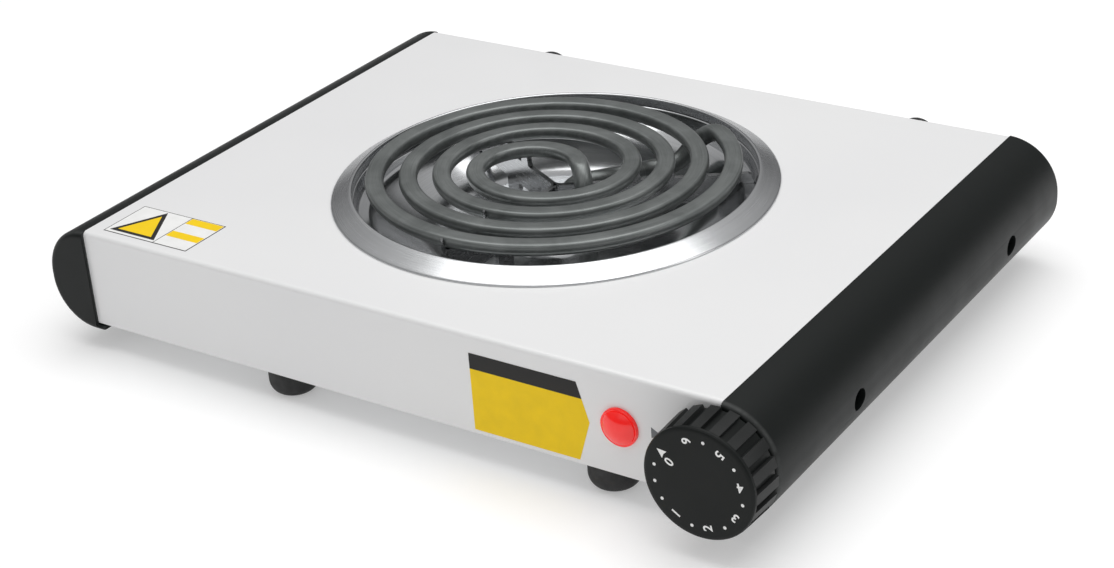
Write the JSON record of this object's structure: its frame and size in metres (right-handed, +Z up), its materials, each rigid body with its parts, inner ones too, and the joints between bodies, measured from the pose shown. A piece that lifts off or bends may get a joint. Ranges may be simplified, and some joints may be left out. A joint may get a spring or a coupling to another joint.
{
  "type": "electric hot plate",
  "caption": "Portable single electric hot plate: open-coil burner over a shiny drip pan on a white steel body with black end caps, turned by a fluted control knob with a pilot lamp beside it.",
  "frame": {"origin": "middle of the whole object in plan, at the height of the surface it stands on", "axes": "+X to the right seen from the front, +Y to the back, +Z up"},
  "size_m": [0.336, 0.2676, 0.0629],
  "materials": {
    "white_enamel": "smooth gloss white enamel",
    "galvanised_steel": "plain galvanised sheet",
    "zinc_screw": "zinc plated",
    "black_phenolic": "black moulded phenolic, satin",
    "polished_chrome": "polished plated steel",
    "spring_steel": "spring steel",
    "coil_sheath": "dark oxidised tubular sheath, matt",
    "strip_steel": "bright strip steel",
    "white_ceramic": "unglazed steatite",
    "brass": "plain brass",
    "bimetal": "bimetal strip",
    "red_lens": "glossy translucent red",
    "lamp_plastic": "moulded natural plastic",
    "lamp_glass": "clear lamp glass",
    "black_rubber": "moulded rubber",
    "brown_wire": "insulated wire",
    "white_wire": "glass-braid sleeved wire",
    "black_wire": "insulated wire",
    "green_wire": "insulated wire"
  },
  "bodies": {
    "body": {"body_shell": "white_enamel", "bottom_plate": "galvanised_steel", "bottom_screws": "zinc_screw", "left_end_cap": "black_phenolic", "right_end_cap": "black_phenolic", "end_cap_screws": "zinc_screw", "left_end_bracket": "galvanised_steel", "right_end_bracket": "galvanised_steel", "trim_ring": "polished_chrome", "drip_pan": "polished_chrome", "pan_clips": "spring_steel", "heating_coil": "coil_sheath", "support_strip_1": "strip_steel", "support_strip_2": "strip_steel", "support_strip_3": "strip_steel", "leg_plate": "galvanised_steel", "leg_bushes": "white_ceramic", "terminal_pins": "brass", "heat_shield": "galvanised_steel", "thermostat_bush": "brass", "bush_nut": "zinc_screw", "thermostat_bracket": "galvanised_steel", "thermostat_body": "white_ceramic", "fixed_contact": "brass", "bimetal_strip": "bimetal", "pilot_lens": "red_lens", "lamp_holder": "lamp_plastic", "lamp_bulb": "lamp_glass", "lamp_retainer": "zinc_screw", "terminal_block": "white_ceramic", "block_screws": "zinc_screw", "cord_grommet": "black_rubber", "earth_screw": "zinc_screw", "earth_nut": "brass", "foot_front_left": "black_rubber", "foot_front_right": "black_rubber", "foot_rear_left": "black_rubber", "foot_rear_right": "black_rubber", "foot_screws": "zinc_screw", "foot_nuts": "zinc_screw", "bumper_left": "black_rubber", "bumper_right": "black_rubber", "wire_supply_to_thermostat": "brown_wire", "wire_thermostat_to_coil": "white_wire", "wire_coil_to_block": "white_wire", "wire_lamp_live": "black_wire", "wire_lamp_neutral": "black_wire", "wire_earth": "green_wire"},
    "knob": {"knob": "black_phenolic", "knob_spring": "spring_steel", "control_shaft": "strip_steel"},
    "pin": {"push_pin": "white_ceramic"},
    "blade": {"contact_blade": "brass"}
  },
  "joints": [
    {"name": "knob_turn", "type": "hinge", "parent": "body", "child": "knob", "pos_m": [0.1465, -0.125, 0.0315], "axis": [0, 1, 0], "range_deg": [0, 285]},
    {"name": "pin_slide", "type": "slide", "parent": "body", "child": "pin", "axis": [0, 1, 0], "range_m": [0, 0.00045]},
    {"name": "blade_bend", "type": "hinge", "parent": "body", "child": "blade", "pos_m": [0.1465, -0.09165, 0.039], "axis": [1, 0, 0], "range_deg": [0, 3.8]}
  ],
  "couplings": [
    {"joint": "pin_slide", "follows": "knob_turn", "m_per_rad": 0.00009},
    {"joint": "blade_bend", "follows": "knob_turn", "ratio": 0.0133}
  ]
}
